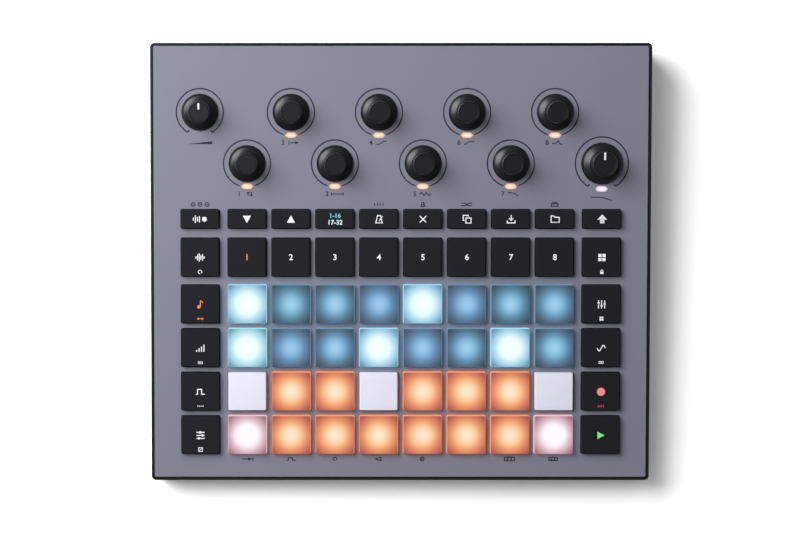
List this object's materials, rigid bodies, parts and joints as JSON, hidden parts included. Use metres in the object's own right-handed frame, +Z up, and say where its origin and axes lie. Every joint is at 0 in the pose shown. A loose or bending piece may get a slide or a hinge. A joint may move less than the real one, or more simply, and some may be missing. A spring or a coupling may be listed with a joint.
{
  "type": "groovebox",
  "caption": "Flat wedge-shaped desktop groovebox with a grid of lit square pads, black function keys, turning knobs with indicator lamps, and sockets along the back.",
  "frame": {"origin": "on the table under the centre of the case outline", "axes": "+X to the player's right, +Y towards the back edge with the sockets, +Z up"},
  "size_m": [0.24, 0.21, 0.0453],
  "materials": {
    "panel": "satin lavender-grey paint",
    "case": "fine-textured black",
    "key": "matt black silicone",
    "pad": "translucent white silicone",
    "knob": "satin black",
    "lens": "clear, lit from below",
    "lamp": "clear resin",
    "keymat": "matt silicone",
    "circuit_board": "solder mask",
    "component": "moulded",
    "metal_can": "tinned",
    "socket": "moulded",
    "battery_wrap": "shrink wrap",
    "foot": "matt",
    "screw": "zinc plated"
  },
  "bodies": {
    "case": {"faceplate": "panel", "bottom_case": "case", "rubber_feet": "foot", "control_board": "circuit_board", "key_leds": "lamp", "keymat": "keymat", "indicator_lenses": "lens", "encoder_bodies": "metal_can", "potentiometer_bodies": "metal_can", "main_board": "circuit_board", "board_components": "component", "jack_sockets": "socket", "midi_sockets": "socket", "usb_socket": "metal_can", "card_slot": "metal_can", "battery": "battery_wrap", "screws": "screw"},
    "encoder_knob_1": {"encoder_knob_1": "knob"},
    "encoder_knob_2": {"encoder_knob_2": "knob"},
    "encoder_knob_3": {"encoder_knob_3": "knob"},
    "encoder_knob_4": {"encoder_knob_4": "knob"},
    "encoder_knob_5": {"encoder_knob_5": "knob"},
    "encoder_knob_6": {"encoder_knob_6": "knob"},
    "encoder_knob_7": {"encoder_knob_7": "knob"},
    "encoder_knob_8": {"encoder_knob_8": "knob"},
    "volume_knob": {"volume_knob": "knob"},
    "filter_knob": {"filter_knob": "knob"},
    "sampling_button": {"sampling_button": "key"},
    "down_button": {"down_button": "key"},
    "up_button": {"up_button": "key"},
    "page_button": {"page_button": "key"},
    "tempo_button": {"tempo_button": "key"},
    "clear_button": {"clear_button": "key"},
    "duplicate_button": {"duplicate_button": "key"},
    "save_button": {"save_button": "key"},
    "projects_button": {"projects_button": "key"},
    "shift_button": {"shift_button": "key"},
    "track_button_1": {"track_button_1": "key"},
    "track_button_2": {"track_button_2": "key"},
    "track_button_3": {"track_button_3": "key"},
    "track_button_4": {"track_button_4": "key"},
    "track_button_5": {"track_button_5": "key"},
    "track_button_6": {"track_button_6": "key"},
    "track_button_7": {"track_button_7": "key"},
    "track_button_8": {"track_button_8": "key"},
    "sample_button": {"sample_button": "key"},
    "note_button": {"note_button": "key"},
    "velocity_button": {"velocity_button": "key"},
    "gate_button": {"gate_button": "key"},
    "settings_button": {"settings_button": "key"},
    "patterns_button": {"patterns_button": "key"},
    "mixer_button": {"mixer_button": "key"},
    "effects_button": {"effects_button": "key"},
    "record_button": {"record_button": "key"},
    "play_button": {"play_button": "key"},
    "pad_row_1": {"pad_row_1": "pad"},
    "pad_row_2": {"pad_row_2": "pad"},
    "pad_row_3": {"pad_row_3": "pad"},
    "pad_row_4": {"pad_row_4": "pad"},
    "power_button": {"power_button": "key"}
  },
  "joints": [
    {"name": "encoder_knob_1_turn", "type": "hinge", "parent": "case", "child": "encoder_knob_1", "pos_m": [-0.07368, 0.04746, 0.03031], "axis": [0, -0.061, 0.9981], "continuous": true},
    {"name": "encoder_knob_2_turn", "type": "hinge", "parent": "case", "child": "encoder_knob_2", "pos_m": [-0.05262, 0.07192, 0.03181], "axis": [0, -0.061, 0.9981], "continuous": true},
    {"name": "encoder_knob_3_turn", "type": "hinge", "parent": "case", "child": "encoder_knob_3", "pos_m": [-0.03157, 0.04746, 0.03031], "axis": [0, -0.061, 0.9981], "continuous": true},
    {"name": "encoder_knob_4_turn", "type": "hinge", "parent": "case", "child": "encoder_knob_4", "pos_m": [-0.01052, 0.07192, 0.03181], "axis": [0, -0.061, 0.9981], "continuous": true},
    {"name": "encoder_knob_5_turn", "type": "hinge", "parent": "case", "child": "encoder_knob_5", "pos_m": [0.01052, 0.04746, 0.03031], "axis": [0, -0.061, 0.9981], "continuous": true},
    {"name": "encoder_knob_6_turn", "type": "hinge", "parent": "case", "child": "encoder_knob_6", "pos_m": [0.03157, 0.07192, 0.03181], "axis": [0, -0.061, 0.9981], "continuous": true},
    {"name": "encoder_knob_7_turn", "type": "hinge", "parent": "case", "child": "encoder_knob_7", "pos_m": [0.05262, 0.04746, 0.03031], "axis": [0, -0.061, 0.9981], "continuous": true},
    {"name": "encoder_knob_8_turn", "type": "hinge", "parent": "case", "child": "encoder_knob_8", "pos_m": [0.07368, 0.07192, 0.03181], "axis": [0, -0.061, 0.9981], "continuous": true},
    {"name": "volume_knob_turn", "type": "hinge", "parent": "case", "child": "volume_knob", "pos_m": [-0.09617, 0.07192, 0.03181], "axis": [0, -0.061, 0.9981], "range_deg": [-149, 149]},
    {"name": "filter_knob_turn", "type": "hinge", "parent": "case", "child": "filter_knob", "pos_m": [0.09617, 0.04746, 0.03031], "axis": [0, -0.061, 0.9981], "range_deg": [-149, 149]},
    {"name": "sampling_button_press", "type": "slide", "parent": "case", "child": "sampling_button", "axis": [0, 0.061, -0.9981], "range_m": [0, 0.001], "stiffness_N_per_m": 900},
    {"name": "down_button_press", "type": "slide", "parent": "case", "child": "down_button", "axis": [0, 0.061, -0.9981], "range_m": [0, 0.001], "stiffness_N_per_m": 900},
    {"name": "up_button_press", "type": "slide", "parent": "case", "child": "up_button", "axis": [0, 0.061, -0.9981], "range_m": [0, 0.001], "stiffness_N_per_m": 900},
    {"name": "page_button_press", "type": "slide", "parent": "case", "child": "page_button", "axis": [0, 0.061, -0.9981], "range_m": [0, 0.001], "stiffness_N_per_m": 900},
    {"name": "tempo_button_press", "type": "slide", "parent": "case", "child": "tempo_button", "axis": [0, 0.061, -0.9981], "range_m": [0, 0.001], "stiffness_N_per_m": 900},
    {"name": "clear_button_press", "type": "slide", "parent": "case", "child": "clear_button", "axis": [0, 0.061, -0.9981], "range_m": [0, 0.001], "stiffness_N_per_m": 900},
    {"name": "duplicate_button_press", "type": "slide", "parent": "case", "child": "duplicate_button", "axis": [0, 0.061, -0.9981], "range_m": [0, 0.001], "stiffness_N_per_m": 900},
    {"name": "save_button_press", "type": "slide", "parent": "case", "child": "save_button", "axis": [0, 0.061, -0.9981], "range_m": [0, 0.001], "stiffness_N_per_m": 900},
    {"name": "projects_button_press", "type": "slide", "parent": "case", "child": "projects_button", "axis": [0, 0.061, -0.9981], "range_m": [0, 0.001], "stiffness_N_per_m": 900},
    {"name": "shift_button_press", "type": "slide", "parent": "case", "child": "shift_button", "axis": [0, 0.061, -0.9981], "range_m": [0, 0.001], "stiffness_N_per_m": 900},
    {"name": "track_button_1_press", "type": "slide", "parent": "case", "child": "track_button_1", "axis": [0, 0.061, -0.9981], "range_m": [0, 0.001], "stiffness_N_per_m": 900},
    {"name": "track_button_2_press", "type": "slide", "parent": "case", "child": "track_button_2", "axis": [0, 0.061, -0.9981], "range_m": [0, 0.001], "stiffness_N_per_m": 900},
    {"name": "track_button_3_press", "type": "slide", "parent": "case", "child": "track_button_3", "axis": [0, 0.061, -0.9981], "range_m": [0, 0.001], "stiffness_N_per_m": 900},
    {"name": "track_button_4_press", "type": "slide", "parent": "case", "child": "track_button_4", "axis": [0, 0.061, -0.9981], "range_m": [0, 0.001], "stiffness_N_per_m": 900},
    {"name": "track_button_5_press", "type": "slide", "parent": "case", "child": "track_button_5", "axis": [0, 0.061, -0.9981], "range_m": [0, 0.001], "stiffness_N_per_m": 900},
    {"name": "track_button_6_press", "type": "slide", "parent": "case", "child": "track_button_6", "axis": [0, 0.061, -0.9981], "range_m": [0, 0.001], "stiffness_N_per_m": 900},
    {"name": "track_button_7_press", "type": "slide", "parent": "case", "child": "track_button_7", "axis": [0, 0.061, -0.9981], "range_m": [0, 0.001], "stiffness_N_per_m": 900},
    {"name": "track_button_8_press", "type": "slide", "parent": "case", "child": "track_button_8", "axis": [0, 0.061, -0.9981], "range_m": [0, 0.001], "stiffness_N_per_m": 900},
    {"name": "sample_button_press", "type": "slide", "parent": "case", "child": "sample_button", "axis": [0, 0.061, -0.9981], "range_m": [0, 0.001], "stiffness_N_per_m": 900},
    {"name": "note_button_press", "type": "slide", "parent": "case", "child": "note_button", "axis": [0, 0.061, -0.9981], "range_m": [0, 0.001], "stiffness_N_per_m": 900},
    {"name": "velocity_button_press", "type": "slide", "parent": "case", "child": "velocity_button", "axis": [0, 0.061, -0.9981], "range_m": [0, 0.001], "stiffness_N_per_m": 900},
    {"name": "gate_button_press", "type": "slide", "parent": "case", "child": "gate_button", "axis": [0, 0.061, -0.9981], "range_m": [0, 0.001], "stiffness_N_per_m": 900},
    {"name": "settings_button_press", "type": "slide", "parent": "case", "child": "settings_button", "axis": [0, 0.061, -0.9981], "range_m": [0, 0.001], "stiffness_N_per_m": 900},
    {"name": "patterns_button_press", "type": "slide", "parent": "case", "child": "patterns_button", "axis": [0, 0.061, -0.9981], "range_m": [0, 0.001], "stiffness_N_per_m": 900},
    {"name": "mixer_button_press", "type": "slide", "parent": "case", "child": "mixer_button", "axis": [0, 0.061, -0.9981], "range_m": [0, 0.001], "stiffness_N_per_m": 900},
    {"name": "effects_button_press", "type": "slide", "parent": "case", "child": "effects_button", "axis": [0, 0.061, -0.9981], "range_m": [0, 0.001], "stiffness_N_per_m": 900},
    {"name": "record_button_press", "type": "slide", "parent": "case", "child": "record_button", "axis": [0, 0.061, -0.9981], "range_m": [0, 0.001], "stiffness_N_per_m": 900},
    {"name": "play_button_press", "type": "slide", "parent": "case", "child": "play_button", "axis": [0, 0.061, -0.9981], "range_m": [0, 0.001], "stiffness_N_per_m": 900},
    {"name": "pad_row_1_press", "type": "slide", "parent": "case", "child": "pad_row_1", "axis": [0, 0.061, -0.9981], "range_m": [0, 0.001], "stiffness_N_per_m": 3600},
    {"name": "pad_row_2_press", "type": "slide", "parent": "case", "child": "pad_row_2", "axis": [0, 0.061, -0.9981], "range_m": [0, 0.001], "stiffness_N_per_m": 3600},
    {"name": "pad_row_3_press", "type": "slide", "parent": "case", "child": "pad_row_3", "axis": [0, 0.061, -0.9981], "range_m": [0, 0.001], "stiffness_N_per_m": 3600},
    {"name": "pad_row_4_press", "type": "slide", "parent": "case", "child": "pad_row_4", "axis": [0, 0.061, -0.9981], "range_m": [0, 0.001], "stiffness_N_per_m": 3600},
    {"name": "power_button_press", "type": "slide", "parent": "case", "child": "power_button", "axis": [0, -1, 0], "range_m": [0, 0.0012], "stiffness_N_per_m": 700}
  ]
}
